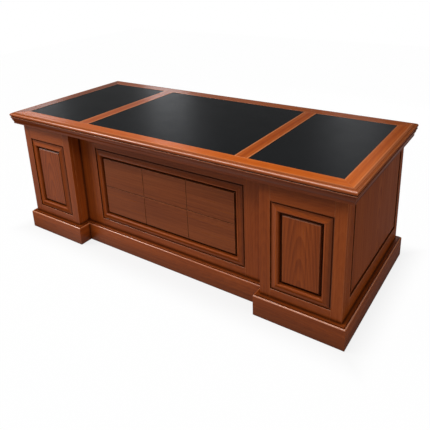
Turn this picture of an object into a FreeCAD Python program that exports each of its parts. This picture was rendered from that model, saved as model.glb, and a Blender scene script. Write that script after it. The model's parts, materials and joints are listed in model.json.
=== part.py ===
import FreeCAD, Part
import os

# A two-pedestal executive desk with a leather-inlaid top.
# Millimetres. The origin is on the floor under the middle of the top, +Z is up,
# the visitor's side faces -Y and the sitter's side faces +Y.

# Whole desk
top_length = 2100.0
top_depth = 900.0
desk_height = 760.0
overhang = 49.0

# Top slab
slab_thickness = 23.0
border_thickness = 6.0
leather_thickness = 5.0
end_border_width = 58.0
long_border_width = 59.0
divider_width = 70.0
divider_spacing = 1001.0
nosing_width = 24.0
nose_radius = 10.0
quirk_width = 3.0
quirk_depth = 2.0

# Crown moulding under the nosing
crown_height = 42.0
crown_top_projection = 47.0
crown_foot_projection = 36.0
crown_fillet_height = 11.0
crown_band_height = 6.0
crown_band_step = 3.0
crown_bulge_share = 0.22

# Plinth
plinth_height = 114.0
plinth_projection = 25.0
plinth_thickness = 30.0
plinth_round_radius = 7.0
plinth_step_height = 4.0
floor_gap = 2.0

# Pedestals and boards
pedestal_width = 392.0
recess_depth = 76.0
frame_thickness = 22.0
board_thickness = 18.0
stile_width = 52.0
bottom_rail_height = 47.0
upper_rail_height = 134.0
end_bottom_rail_height = 76.0
end_upper_rail_height = 85.0
end_front_stile_width = 62.0
end_back_stile_width = 42.0
end_panel_thickness = 14.0
end_field_groove = 18.0
end_field_sink = 2.0
tongue_thickness = 6.0
tongue_depth = 8.0
top_rail_depth = 100.0
sitter_rail_height = 50.0

# Sunk moulding and raised field of the visitor side
moulding_width = 42.0
moulding_sink = 7.0
moulding_quirk = 8.0
moulding_edge_drop = 2.5
moulding_hollow_share = 0.25
lip_radius = 8.0
lip_rise = 6.0
plate_thickness = 6.0
field_groove = 10.0
field_edge_height = 6.0
field_bevel_width = 7.0
field_sink = 3.0

# Recessed centre
centre_stile_width = 124.0
centre_bevel_width = 5.0
line_width = 3.0
line_depth = 3.0
centre_columns = 3
centre_rows = 2

# Kneehole apron on the sitter's side
apron_height = 98.0

# Feet and fasteners
block_size = 50.0
block_height = 80.0
glide_radius = 18.0
glide_pad_height = 8.0
glide_stud_radius = 4.0
glide_stud_length = 48.0
screw_radius = 2.5
screw_head_radius = 5.0
screw_head_height = 3.0
screw_length = 30.0

# Drawers of the right pedestal
reveal = 3.0
front_thickness = 20.0
front_field_height = 6.0
front_border = 34.0
drawer_height_shares = (0.25, 0.25, 0.5)
drawer_side_thickness = 12.0
drawer_bottom_thickness = 6.0
drawer_bottom_lift = 8.0
drawer_depth = 550.0
drawer_foot_clearance = 14.0
drawer_head_clearance = 22.0

# Telescopic slides
slide_length = 540.0
slide_space = 13.0
slide_height = 45.0
slide_sheet = 1.5
slide_play = 0.5
slide_setback = 4.0

# Pulls
pull_length = 110.0
pull_bar_radius = 5.0
pull_post_radius = 4.0
pull_post_inset = 8.0
pull_reach = 22.0

# Lock of the upper drawer
lock_drop = 18.0
lock_sleeve_radius = 10.0
lock_barrel_radius = 7.0
lock_flange = 1.5
lock_rise = 1.0
lock_tail = 6.0
key_slot_length = 9.0
key_slot_width = 2.0
key_slot_depth = 3.0
cam_length = 35.0
cam_width = 14.0
cam_thickness = 3.0

# Cupboard of the left pedestal
door_stile_width = 58.0
door_field_inset = 12.0
door_bevel_width = 18.0
door_pull_inset = 31.0
shelf_clearance = 1.0
shelf_front_setback = 36.0
shelf_pin_radius = 3.0
shelf_pin_grip = 8.0
shelf_pin_reach = 10.0
shelf_pin_setback = 60.0

# Butt hinges of the door
hinge_height = 64.0
hinge_inset = 70.0
hinge_leaf_width = 20.0
hinge_leaf_thickness = 1.5
hinge_leaf_play = 0.2
hinge_knuckle_radius = 4.0
hinge_knuckle_gap = 0.3
hinge_pin_radius = 2.0
hinge_knuckles = 3

# Clearances and overrun
running_clearance = 0.05
bore_clearance = 0.1
face_clearance = 0.3
cut_overrun = 20.0

quarter_turn = 90.0
half = 0.5
diagonal_share = half ** half

# Places derived from the sizes above
slab_low = desk_height - slab_thickness
crown_low = slab_low - crown_height
body_x = half * top_length - overhang
body_y = half * top_depth - overhang
inner_x = body_x - pedestal_width
pedestal_mid_x = half * (body_x + inner_x)
frame_back_y = frame_thickness - body_y
end_inside_x = body_x - frame_thickness
inner_inside_x = inner_x + board_thickness
opening_low = plinth_height + bottom_rail_height
opening_high = slab_low - upper_rail_height
opening_mid_z = half * (opening_low + opening_high)
opening_half_height = half * (opening_high - opening_low)
sitter_rail_low = slab_low - sitter_rail_height
centre_face_y = recess_depth - body_y

ORIGIN = FreeCAD.Vector(0, 0, 0)
ACROSS = FreeCAD.Vector(1, 0, 0)
UP = FreeCAD.Vector(0, 0, 1)


def at(x, y, z):
    return FreeCAD.Vector(x, y, z)


def box(x_span, y_span, z_span):
    corner = at(x_span[0], y_span[0], z_span[0])
    return Part.makeBox(x_span[1] - x_span[0], y_span[1] - y_span[0], z_span[1] - z_span[0], corner)


def rod(radius, start, end):
    line = end - start
    return Part.makeCylinder(radius, line.Length, start, line)


def mirrored(shapes):
    return [shape.mirror(ORIGIN, ACROSS) for shape in shapes]


def both_sides(shapes):
    return shapes + mirrored(shapes)


# Mouldings

def profile_face(start, steps):
    """A moulding's section from places (out, height). A step is a line, or an arc with a place on its way."""
    def place(spot):
        return at(0, -spot[0], spot[1])

    edges = []
    here = start
    for step in steps:
        if isinstance(step[0], tuple):
            through, there = step
            edges.append(Part.Arc(place(here), place(through), place(there)).toShape())
        else:
            there = step
            edges.append(Part.makeLine(place(here), place(there)))
        here = there
    edges.append(Part.makeLine(place(here), place(start)))
    return Part.Face(Part.Wire(edges))


def mitred_strip(face, half_length, half_width):
    """One side of a rectangular ring, facing -Y, with both ends cut on the mitre."""
    limits = face.BoundBox
    near = -limits.YMax - cut_overrun
    far = -limits.YMin + cut_overrun
    reach = half_length + far
    bar = face.translated(at(-reach, -half_width, 0)).extrude(at(reach + reach, 0, 0))
    low = limits.ZMin - cut_overrun
    high = limits.ZMax + cut_overrun
    corners = [
        at(-half_length - near, -half_width - near, low),
        at(half_length + near, -half_width - near, low),
        at(half_length + far, -half_width - far, low),
        at(-half_length - far, -half_width - far, low),
    ]
    mitre = Part.Face(Part.makePolygon(corners + corners[:1])).extrude(at(0, 0, high - low))
    return bar.common(mitre).Solids[0]


def mitred_ring(face, half_x, half_y):
    """Four mitred strips, in the order -Y, +X, +Y, -X."""
    strips = []
    for turn, (half_length, half_width) in enumerate(2 * [(half_x, half_y), (half_y, half_x)]):
        strip = mitred_strip(face, half_length, half_width)
        strip.rotate(ORIGIN, UP, turn * quarter_turn)
        strips.append(strip)
    return strips


def moved(shapes, step):
    return [shape.translated(step) for shape in shapes]


def stood_to_visitor(shapes, middle):
    """Pieces made lying flat, stood up to face -Y round their middle."""
    return moved([shape.rotated(ORIGIN, ACROSS, quarter_turn) for shape in shapes], middle)


def stood_to_sitter(shapes, middle):
    return moved([shape.rotated(ORIGIN, ACROSS, -quarter_turn) for shape in shapes], middle)


def flat_rectangle(half_x, half_y, z):
    corners = [at(-half_x, -half_y, z), at(half_x, -half_y, z), at(half_x, half_y, z), at(-half_x, half_y, z)]
    return Part.makePolygon(corners + corners[:1])


def raised_panel(plate_half, field_half, heights, bevel_width):
    """A plate with a raised field, lying flat. Heights: back, plate, foot of the bevel, field."""
    back, plate_face, bevel_foot, field_face = heights
    plate = box((-plate_half[0], plate_half[0]), (-plate_half[1], plate_half[1]), (back, plate_face))
    block = box((-field_half[0], field_half[0]), (-field_half[1], field_half[1]), (back, bevel_foot))
    foot = flat_rectangle(field_half[0], field_half[1], bevel_foot)
    face = flat_rectangle(field_half[0] - bevel_width, field_half[1] - bevel_width, field_face)
    slope = Part.makeLoft([foot, face], True, True)
    return plate.fuse([block, slope]).removeSplitter().Solids[0]


def frame(x_span, y_span, z_span, stiles, rails):
    """Two full-height stiles and the two rails between them, in a plane facing Y."""
    left = x_span[0] + stiles
    right = x_span[1] - stiles
    return [
        box((x_span[0], left), y_span, z_span),
        box((right, x_span[1]), y_span, z_span),
        box((left, right), y_span, (z_span[0], rails[0])),
        box((left, right), y_span, (rails[1], z_span[1])),
    ]


# Top

def top_pieces():
    core_half_x = half * top_length - nosing_width
    core_half_y = half * top_depth - nosing_width
    border_low = desk_height - border_thickness
    leather_x = core_half_x - end_border_width
    leather_y = core_half_y - long_border_width
    upper = (border_low, desk_height)

    def border(corners):
        outline = [at(x, y, border_low) for x, y in corners + corners[:1]]
        return Part.Face(Part.makePolygon(outline)).extrude(at(0, 0, border_thickness))

    long_border = border([
        (-core_half_x, -core_half_y),
        (core_half_x, -core_half_y),
        (leather_x, -leather_y),
        (-leather_x, -leather_y),
    ])
    end_border = border([
        (core_half_x, -core_half_y),
        (core_half_x, core_half_y),
        (leather_x, leather_y),
        (leather_x, -leather_y),
    ])
    divider_mid = half * divider_spacing
    divider_in = divider_mid - half * divider_width
    divider_out = divider_mid + half * divider_width
    divider = box((divider_in, divider_out), (-leather_y, leather_y), upper)
    leather_z = (border_low, border_low + leather_thickness)
    end_leather = box((divider_out, leather_x), (-leather_y, leather_y), leather_z)

    core = box((-core_half_x, core_half_x), (-core_half_y, core_half_y), (slab_low, border_low))
    for screw in top_screws():
        core = core.cut(screw)

    half_turn = quarter_turn + quarter_turn
    return {
        "top_core_board": [core],
        "top_border_long": [long_border, long_border.rotated(ORIGIN, UP, half_turn)],
        "top_border_ends": both_sides([end_border]),
        "top_dividers": both_sides([divider]),
        "leather_inlay_left": mirrored([end_leather]),
        "leather_inlay_centre": [box((-divider_in, divider_in), (-leather_y, leather_y), leather_z)],
        "leather_inlay_right": [end_leather],
        "top_nosing": mitred_ring(nosing_section(), body_x, body_y),
        "crown_moulding": mitred_ring(crown_section(), body_x, body_y),
    }


def nosing_section():
    """Flat, quirk, half-round nose and a small step under it, measured out from the body's face."""
    back = overhang - nosing_width
    nose_mid = overhang - nose_radius
    nose_high = desk_height - quirk_depth
    nose_z = nose_high - nose_radius
    return profile_face((back, slab_low), [
        (back, desk_height),
        (nose_mid - quirk_width, desk_height),
        (nose_mid - quirk_width, nose_high),
        (nose_mid, nose_high),
        ((overhang, nose_z), (nose_mid, nose_z - nose_radius)),
        (nose_mid, slab_low),
    ])


def crown_section():
    """A band over a swelling face that runs in to a fillet at the foot, measured out from the body's face."""
    fillet_high = crown_low + crown_fillet_height
    band_low = slab_low - crown_band_height
    swell_out = crown_top_projection - crown_band_step
    run = swell_out - crown_foot_projection
    rise = band_low - fillet_high
    swell = (crown_foot_projection + (half + crown_bulge_share) * run, fillet_high + half * rise)
    return profile_face((0, crown_low), [
        (crown_foot_projection, crown_low),
        (crown_foot_projection, fillet_high),
        (swell, (swell_out, band_low)),
        (crown_top_projection, band_low),
        (crown_top_projection, slab_low),
        (0, slab_low),
    ])


# Pedestals, made on the right and mirrored to the left

def pedestal_top_rails():
    x_span = (inner_inside_x, end_inside_x)
    z_span = (slab_low - board_thickness, slab_low)
    sitter_back = body_y - frame_thickness
    rails = [
        box(x_span, (frame_back_y, frame_back_y + top_rail_depth), z_span),
        box(x_span, (sitter_back - top_rail_depth, sitter_back), z_span),
    ]
    for screw in top_screws():
        rails = [rail.cut(screw).Solids[0] for rail in rails]
    return rails + [box(x_span, (sitter_back, body_y), (sitter_rail_low, slab_low))]


def pedestal_top_screws():
    """Screws up through the top rails into the core, two to a rail."""
    rail_y = body_y - frame_thickness - half * top_rail_depth
    quarter = half * half * (end_inside_x - inner_inside_x)
    rail_low = slab_low - board_thickness
    screws = []
    for x in (inner_inside_x + quarter, end_inside_x - quarter):
        for y in (-rail_y, rail_y):
            head = rod(screw_head_radius, at(x, y, rail_low - screw_head_height), at(x, y, rail_low))
            shank = rod(screw_radius, at(x, y, rail_low), at(x, y, rail_low + screw_length))
            screws.append(head.fuse(shank).removeSplitter().Solids[0])
    return screws


def top_screws():
    return both_sides(pedestal_top_screws())


def visitor_moulding(half_x, half_z, middle):
    """Four mitred strips in a panel opening: a quirk at the frame and a hollow up to a rounded lip."""
    lip_back = plate_thickness - frame_thickness
    lip_out = -moulding_width
    lip_top = lip_out + lip_radius
    climb = lip_rise + moulding_edge_drop
    hollow = (half * (lip_top - moulding_quirk), moulding_hollow_share * climb - moulding_edge_drop)
    rounding = lip_radius - diagonal_share * lip_radius
    section = profile_face((0, lip_back), [
        (0, -moulding_sink),
        (-moulding_quirk, -moulding_sink),
        (-moulding_quirk, -moulding_edge_drop),
        (hollow, (lip_top, lip_rise)),
        ((lip_out + rounding, lip_rise - rounding), (lip_out, lip_rise - lip_radius)),
        (lip_out, lip_back),
    ])
    return stood_to_visitor(mitred_ring(section, half_x, half_z), middle)


def visitor_panel(half_x, half_z, bevel_width, middle):
    """The plate behind the moulding with its raised field."""
    back = -frame_thickness
    plate_face = back + plate_thickness
    inset = moulding_width + field_groove
    heights = (back, plate_face, plate_face + field_edge_height, -field_sink)
    panel = raised_panel((half_x, half_z), (half_x - inset, half_z - inset), heights, bevel_width)
    return stood_to_visitor([panel], middle)


def plinth_section():
    foot = plinth_projection - plinth_thickness
    step_low = plinth_height - plinth_step_height
    round_in = plinth_projection - plinth_round_radius
    rounding = diagonal_share * plinth_round_radius
    return profile_face((foot, floor_gap), [
        (plinth_projection, floor_gap),
        (plinth_projection, step_low - plinth_round_radius),
        ((round_in + rounding, step_low - plinth_round_radius + rounding), (round_in, step_low)),
        (round_in - half * plinth_step_height, step_low),
        (round_in - half * plinth_step_height, plinth_height),
        (foot, plinth_height),
    ])


def pedestal_plinth():
    ring = mitred_ring(plinth_section(), half * pedestal_width, body_y)
    return moved(ring, at(pedestal_mid_x, 0, 0))


def corner_spots():
    """Middles of the corner blocks, tight in the inside corners of the plinth."""
    inset = plinth_thickness - plinth_projection + half * block_size
    return [(x, y) for x in (inner_x + inset, body_x - inset) for y in (inset - body_y, body_y - inset)]


def block_span():
    high = plinth_height - board_thickness
    return high - block_height, high


def pedestal_glides():
    low = block_span()[0]
    glides = []
    for x, y in corner_spots():
        pad = rod(glide_radius, at(x, y, 0), at(x, y, glide_pad_height))
        stud = rod(glide_stud_radius, at(x, y, glide_pad_height), at(x, y, low + glide_stud_length))
        glides.append(pad.fuse(stud).removeSplitter().Solids[0])
    return glides


def pedestal_blocks():
    reach = half * block_size
    blocks = []
    for (x, y), glide in zip(corner_spots(), pedestal_glides()):
        block = box((x - reach, x + reach), (y - reach, y + reach), block_span())
        blocks.append(block.cut(glide).Solids[0])
    return blocks


def end_pieces():
    """Frame and fielded panel of the outer end; the panel's tongue sits in a groove round the frame."""
    x_span = (end_inside_x, body_x)
    opening_y = (frame_back_y + end_front_stile_width, body_y - end_back_stile_width)
    opening_z = (plinth_height + end_bottom_rail_height, slab_low - end_upper_rail_height)
    panel_x = (end_inside_x, end_inside_x + end_panel_thickness)
    tongue_low = end_inside_x + half * (end_panel_thickness - tongue_thickness)
    tongue = box(
        (tongue_low, tongue_low + tongue_thickness),
        (opening_y[0] - tongue_depth, opening_y[1] + tongue_depth),
        (opening_z[0] - tongue_depth, opening_z[1] + tongue_depth),
    )
    field = box(
        (end_inside_x, body_x - end_field_sink),
        (opening_y[0] + end_field_groove, opening_y[1] - end_field_groove),
        (opening_z[0] + end_field_groove, opening_z[1] - end_field_groove),
    )
    members = [
        box(x_span, (frame_back_y, opening_y[0]), (plinth_height, slab_low)),
        box(x_span, (opening_y[1], body_y), (plinth_height, slab_low)),
        box(x_span, opening_y, (plinth_height, opening_z[0])),
        box(x_span, opening_y, (opening_z[1], slab_low)),
    ]
    panel = box(panel_x, opening_y, opening_z).fuse([tongue, field]).removeSplitter().Solids[0]
    return [member.cut(tongue).Solids[0] for member in members], panel


def pedestal_pieces():
    middle = at(pedestal_mid_x, -body_y, opening_mid_z)
    half_x = half * pedestal_width - stile_width
    half_z = opening_half_height
    front_y = (-body_y, frame_back_y)
    board_z = (plinth_height, slab_low)
    end_frame, end_panel = end_pieces()
    return {
        "front_frame": frame((inner_x, body_x), front_y, board_z, stile_width, (opening_low, opening_high)),
        "front_moulding": visitor_moulding(half_x, half_z, middle),
        "front_raised_panel": visitor_panel(half_x, half_z, field_bevel_width, middle),
        "end_frame": end_frame,
        "end_panel": [end_panel],
        "inner_side_board": [box((inner_x, inner_inside_x), (frame_back_y, body_y), board_z)],
        "plinth": pedestal_plinth(),
    }


def pedestal_bottom():
    ledge = plinth_thickness - plinth_projection
    return box(
        (inner_x + ledge, body_x - ledge),
        (ledge - body_y, body_y - ledge),
        (plinth_height - board_thickness, plinth_height),
    )


# Recessed centre and kneehole

def centre_panel(half_x, half_z, middle):
    """The flat field, lined off from edge to edge into columns and rows."""
    panel = visitor_panel(half_x, half_z, centre_bevel_width, middle)[0]
    face_y = middle.y + field_sink
    line_y = (face_y - cut_overrun, face_y + line_depth)
    inset = moulding_width + field_groove
    reach_x = half_x - inset
    reach_z = half_z - inset
    half_line = half * line_width
    line_z = (middle.z - reach_z, middle.z + reach_z)
    for column in range(1, centre_columns):
        x = -reach_x + column * (reach_x + reach_x) / centre_columns
        panel = panel.cut(box((x - half_line, x + half_line), line_y, line_z))
    for row in range(1, centre_rows):
        z = middle.z - reach_z + row * (reach_z + reach_z) / centre_rows
        panel = panel.cut(box((-reach_x, reach_x), line_y, (z - half_line, z + half_line)))
    return panel.Solids[0]


def centre_pieces():
    middle = at(0, centre_face_y, opening_mid_z)
    half_x = inner_x - centre_stile_width
    half_z = opening_half_height
    frame_y = (centre_face_y, centre_face_y + frame_thickness)
    frame_z = (plinth_height, slab_low)
    rails = (opening_low, opening_high)
    plinth = mitred_strip(plinth_section(), inner_x + cut_overrun, -centre_face_y)
    for neighbour in both_sides(pedestal_plinth()):
        plinth = plinth.cut(neighbour)
    plinth = sorted(plinth.Solids, key=lambda solid: abs(solid.CenterOfMass.x))[0]
    return {
        "modesty_frame": frame((-inner_x, inner_x), frame_y, frame_z, centre_stile_width, rails),
        "modesty_moulding": visitor_moulding(half_x, half_z, middle),
        "modesty_panel": [centre_panel(half_x, half_z, middle)],
        "centre_plinth": [plinth],
        "crown_backing_rail": [box((-inner_x, inner_x), (-body_y, frame_back_y), (crown_low, slab_low))],
        "knee_apron": [box(
            (-inner_x, inner_x), (body_y - frame_thickness, body_y), (slab_low - apron_height, slab_low)
        )],
    }


# Drawers

front_x_span = (inner_inside_x + reveal, end_inside_x - reveal)
front_back_y = body_y - front_thickness
drawer_mid_x = half * (inner_inside_x + end_inside_x)


def drawer_spans():
    """Heights of the three fronts, from the top one down."""
    high = sitter_rail_low - reveal
    room = high - plinth_height - reveal - (len(drawer_height_shares) - 1) * reveal
    spans = []
    for share in drawer_height_shares:
        low = high - share * room
        spans.append((low, high))
        high = low - reveal
    return spans


def drawer_front(span):
    half_x = half * (front_x_span[1] - front_x_span[0])
    half_z = half * (span[1] - span[0])
    base = front_thickness - front_field_height
    heights = (0, base, base, front_thickness)
    field = (half_x - front_border, half_z - front_border)
    middle = at(drawer_mid_x, front_back_y, half * (span[0] + span[1]))
    return stood_to_sitter([raised_panel((half_x, half_z), field, heights, front_field_height)], middle)[0]


def drawer_box(span):
    """Two sides, a back and a bottom; the front closes the box."""
    outer = (inner_inside_x + slide_space, end_inside_x - slide_space)
    inner = (outer[0] + drawer_side_thickness, outer[1] - drawer_side_thickness)
    z_span = (span[0] + drawer_foot_clearance, span[1] - drawer_head_clearance)
    back_y = front_back_y - drawer_depth
    depth = (back_y, front_back_y)
    bottom = (z_span[0] + drawer_bottom_lift, z_span[0] + drawer_bottom_lift + drawer_bottom_thickness)
    return [
        box((outer[0], inner[0]), depth, z_span),
        box((inner[1], outer[1]), depth, z_span),
        box(inner, (back_y, back_y + drawer_side_thickness), z_span),
        box(inner, (back_y + drawer_side_thickness, front_back_y), bottom),
    ]


def channel(x_web, x_rim, reach, y_span, mid_z):
    """A sheet channel along Y: an upright web and two rims towards x_rim, reaching up and down from mid_z."""
    toward = 1 if x_rim > x_web else -1
    web = sorted((x_web, x_web + toward * slide_sheet))
    whole = sorted((x_web, x_rim))
    return box(web, y_span, (mid_z - reach, mid_z + reach)).fuse([
        box(whole, y_span, (mid_z - reach, mid_z - reach + slide_sheet)),
        box(whole, y_span, (mid_z + reach - slide_sheet, mid_z + reach)),
    ]).removeSplitter().Solids[0]


def slide_members(span):
    """Cabinet, middle and drawer channels on both sides of a drawer, nested with play between them."""
    front = front_back_y - slide_setback
    y_span = (front - slide_length, front)
    mid_z = half * (span[0] + drawer_foot_clearance + span[1] - drawer_head_clearance)
    step = slide_sheet + slide_play
    wall = inner_inside_x
    rim_end = wall + slide_space - slide_sheet - slide_play
    cabinet = channel(wall, rim_end - step, half * slide_height, y_span, mid_z)
    middle = channel(wall + step, rim_end, half * slide_height - step, y_span, mid_z)
    moving = channel(wall + slide_space, wall + step + step, half * slide_height - step - step, y_span, mid_z)

    def pair(shape):
        shift = at(drawer_mid_x, 0, 0)
        return [shape, shape.translated(-shift).mirror(ORIGIN, ACROSS).translated(shift)]

    return pair(cabinet), pair(middle), pair(moving)


def pull(x, z, upright):
    """A bar on two posts, made along X at the origin, then stood at its place on the sitter's side."""
    bar_y = pull_reach
    reach = half * pull_length
    bar = rod(pull_bar_radius, at(-reach, bar_y, 0), at(reach, bar_y, 0))
    posts = []
    for side in (-1, 1):
        post_x = side * (reach - pull_post_inset)
        post = rod(pull_post_radius, at(post_x, 0, 0), at(post_x, bar_y, 0))
        posts.append(post.cut(bar).Solids[0])
    pieces = [bar] + posts
    if upright:
        pieces = [piece.rotated(ORIGIN, at(0, 1, 0), quarter_turn) for piece in pieces]
    return moved(pieces, at(x, body_y, z))


def lock_pieces(span):
    """A sleeve through the border of the drawer front, and the barrel in it with its cam behind."""
    z = span[1] - lock_drop
    face_y = body_y - front_field_height
    sleeve_end = face_y + lock_flange

    def on_axis(y):
        return at(drawer_mid_x, y, z)

    sleeve = rod(lock_sleeve_radius, on_axis(front_back_y), on_axis(sleeve_end))
    bore = rod(lock_barrel_radius + running_clearance, on_axis(front_back_y), on_axis(sleeve_end))
    hole = rod(lock_sleeve_radius + bore_clearance, on_axis(front_back_y), on_axis(sleeve_end))
    barrel_end = sleeve_end + lock_rise
    cam_y = front_back_y - lock_tail
    barrel = rod(lock_barrel_radius, on_axis(cam_y), on_axis(barrel_end))
    half_cam = half * cam_width
    cam = box(
        (drawer_mid_x - half_cam, drawer_mid_x + cam_length),
        (cam_y - cam_thickness, cam_y),
        (z - half_cam, z + half_cam),
    )
    slot = box(
        (drawer_mid_x - half * key_slot_width, drawer_mid_x + half * key_slot_width),
        (barrel_end - key_slot_depth, barrel_end + cut_overrun),
        (z - half * key_slot_length, z + half * key_slot_length),
    )
    return sleeve.cut(bore), barrel.fuse(cam).cut(slot).removeSplitter().Solids[0], hole


def drawer_pieces():
    pieces = {"slide_cabinet_members": []}
    for name, span in zip(("upper", "middle", "file"), drawer_spans()):
        cabinet, middle, moving = slide_members(span)
        front = drawer_front(span)
        if name == "upper":
            sleeve, barrel, hole = lock_pieces(span)
            front = front.cut(hole).Solids[0]
            pieces["drawer_lock_sleeve"] = [sleeve]
            pieces["drawer_lock_barrel"] = [barrel]
        pieces["slide_cabinet_members"] += cabinet
        pieces[name + "_drawer_front"] = [front]
        pieces[name + "_drawer_box"] = drawer_box(span)
        pieces[name + "_drawer_pull"] = pull(drawer_mid_x, half * (span[0] + span[1]), False)
        pieces[name + "_drawer_slide_members"] = moving
        pieces[name + "_drawer_middle_members"] = middle
    return pieces


# Cupboard, in place on the left

door_hinge_x = -end_inside_x
hinge_room = hinge_leaf_thickness + hinge_leaf_thickness + hinge_leaf_play
door_x_span = (door_hinge_x + hinge_room, -inner_inside_x - reveal)
door_z_span = (plinth_height + reveal, sitter_rail_low - reveal)


def door_pieces():
    y_span = (front_back_y, body_y)
    rails = (door_z_span[0] + door_stile_width, door_z_span[1] - door_stile_width)
    half_x = half * (door_x_span[1] - door_x_span[0]) - door_stile_width
    half_z = half * (rails[1] - rails[0])
    middle = at(half * (door_x_span[0] + door_x_span[1]), front_back_y, half * (rails[0] + rails[1]))
    heights = (0, plate_thickness, plate_thickness + field_edge_height, front_thickness - field_sink)
    field = (half_x - door_field_inset, half_z - door_field_inset)
    panel = raised_panel((half_x, half_z), field, heights, door_bevel_width)
    return {
        "door_frame": frame(door_x_span, y_span, door_z_span, door_stile_width, rails),
        "door_panel": stood_to_sitter([panel], middle),
        "door_pull": pull(door_x_span[1] - door_pull_inset, middle.z, True),
    }


def hinge_pieces():
    """Two three-knuckle butt hinges: leaves in the reveal beside the door, knuckles clear in front of it."""
    axis_x = door_hinge_x + half * hinge_room
    axis_y = body_y + hinge_knuckle_radius + face_clearance
    leaf_y = (body_y - hinge_leaf_width, body_y)
    wall_x = (door_hinge_x, door_hinge_x + hinge_leaf_thickness)
    door_x = (door_x_span[0] - hinge_leaf_thickness, door_x_span[0])
    knuckle = hinge_height / hinge_knuckles
    half_gap = half * hinge_knuckle_gap
    wall_leaves, door_leaves, pins = [], [], []
    for low in (door_z_span[0] + hinge_inset, door_z_span[1] - hinge_inset - hinge_height):
        high = low + hinge_height
        wall_leaf = box(wall_x, leaf_y, (low, high))
        door_leaf = box(door_x, leaf_y, (low, high))
        for turn in range(hinge_knuckles):
            z_span = (low + turn * knuckle + half_gap, low + (turn + 1) * knuckle - half_gap)
            barrel = rod(hinge_knuckle_radius, at(axis_x, axis_y, z_span[0]), at(axis_x, axis_y, z_span[1]))
            if turn % 2:
                door_leaf = door_leaf.fuse([barrel, box(door_x, (body_y, axis_y), z_span)])
            else:
                wall_leaf = wall_leaf.fuse([barrel, box(wall_x, (body_y, axis_y), z_span)])
        bore = rod(hinge_pin_radius + running_clearance, at(axis_x, axis_y, low), at(axis_x, axis_y, high))
        wall_leaves.append(wall_leaf.cut(bore).removeSplitter().Solids[0])
        door_leaves.append(door_leaf.cut(bore).removeSplitter().Solids[0])
        pins.append(rod(hinge_pin_radius, at(axis_x, axis_y, low), at(axis_x, axis_y, high)))
    return {"hinge_wall_leaves": wall_leaves, "hinge_door_leaves": door_leaves, "hinge_pins": pins}


def shelf_mid_z():
    return half * (door_z_span[0] + door_z_span[1])


def shelf_pins():
    z = shelf_mid_z() - half * board_thickness - shelf_pin_radius
    shelf_y = (frame_back_y + shelf_clearance, front_back_y - shelf_front_setback)
    pins = []
    for y in (shelf_y[0] + shelf_pin_setback + end_front_stile_width, shelf_y[1] - shelf_pin_setback):
        for wall_x, into in ((-end_inside_x, -1), (-inner_inside_x, 1)):
            start = at(wall_x + into * shelf_pin_grip, y, z)
            pins.append(rod(shelf_pin_radius, start, at(wall_x - into * shelf_pin_reach, y, z)))
    return pins


def shelf_board():
    middle = shelf_mid_z()
    return box(
        (shelf_clearance - end_inside_x, -inner_inside_x - shelf_clearance),
        (frame_back_y + shelf_clearance, front_back_y - shelf_front_setback),
        (middle - half * board_thickness, middle + half * board_thickness),
    )


def drilled(shapes, pins):
    cut_shapes = []
    for shape in shapes:
        for pin in pins:
            shape = shape.cut(pin)
        cut_shapes.append(shape.Solids[0])
    return cut_shapes


# Assembly

def desk_nodes():
    nodes = top_pieces()
    pins = shelf_pins()
    for name, shapes in pedestal_pieces().items():
        nodes["right_" + name] = shapes
        nodes["left_" + name] = mirrored(shapes)
    for name in ("left_end_panel", "left_end_frame", "left_inner_side_board"):
        nodes[name] = drilled(nodes[name], pins)
    nodes["pedestal_bottom_boards"] = both_sides([pedestal_bottom()])
    nodes["pedestal_top_rails"] = both_sides(pedestal_top_rails())
    nodes.update(centre_pieces())
    nodes.update(drawer_pieces())
    nodes.update(door_pieces())
    nodes.update(hinge_pieces())
    nodes["cupboard_shelf"] = [shelf_board()]
    nodes["shelf_pins"] = pins
    nodes["corner_blocks"] = both_sides(pedestal_blocks())
    nodes["levelling_glides"] = both_sides(pedestal_glides())
    nodes["top_fixing_screws"] = top_screws()
    return nodes


os.makedirs("parts", exist_ok=True)
for node, shapes in desk_nodes().items():
    shape = shapes[0] if len(shapes) == 1 else Part.makeCompound(shapes)
    shape.exportStep("parts/" + node + ".step")
    state = "valid" if shape.isValid() else "NOT VALID"
    print(node, len(shape.Solids), "solids", round(shape.Volume), "mm3", state)
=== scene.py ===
# %% [markdown]
# # Dressing a two-pedestal executive desk
# The desk is a traditional one: lacquered red-brown wood, sunk panel mouldings, a deep plinth, and a top
# with three black leather inlays in an orange-brown border. Its construction is fixed before this lesson
# starts, so the first step only loads it. Every length below is in metres, in the construction's own
# frame: +Z is up, the visitor's side faces -Y and the sitter's side faces +Y.

# %% Load the construction
import json
import math
import random

import bmesh
import bpy
import numpy as np
from mathutils import Matrix, Vector

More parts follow.
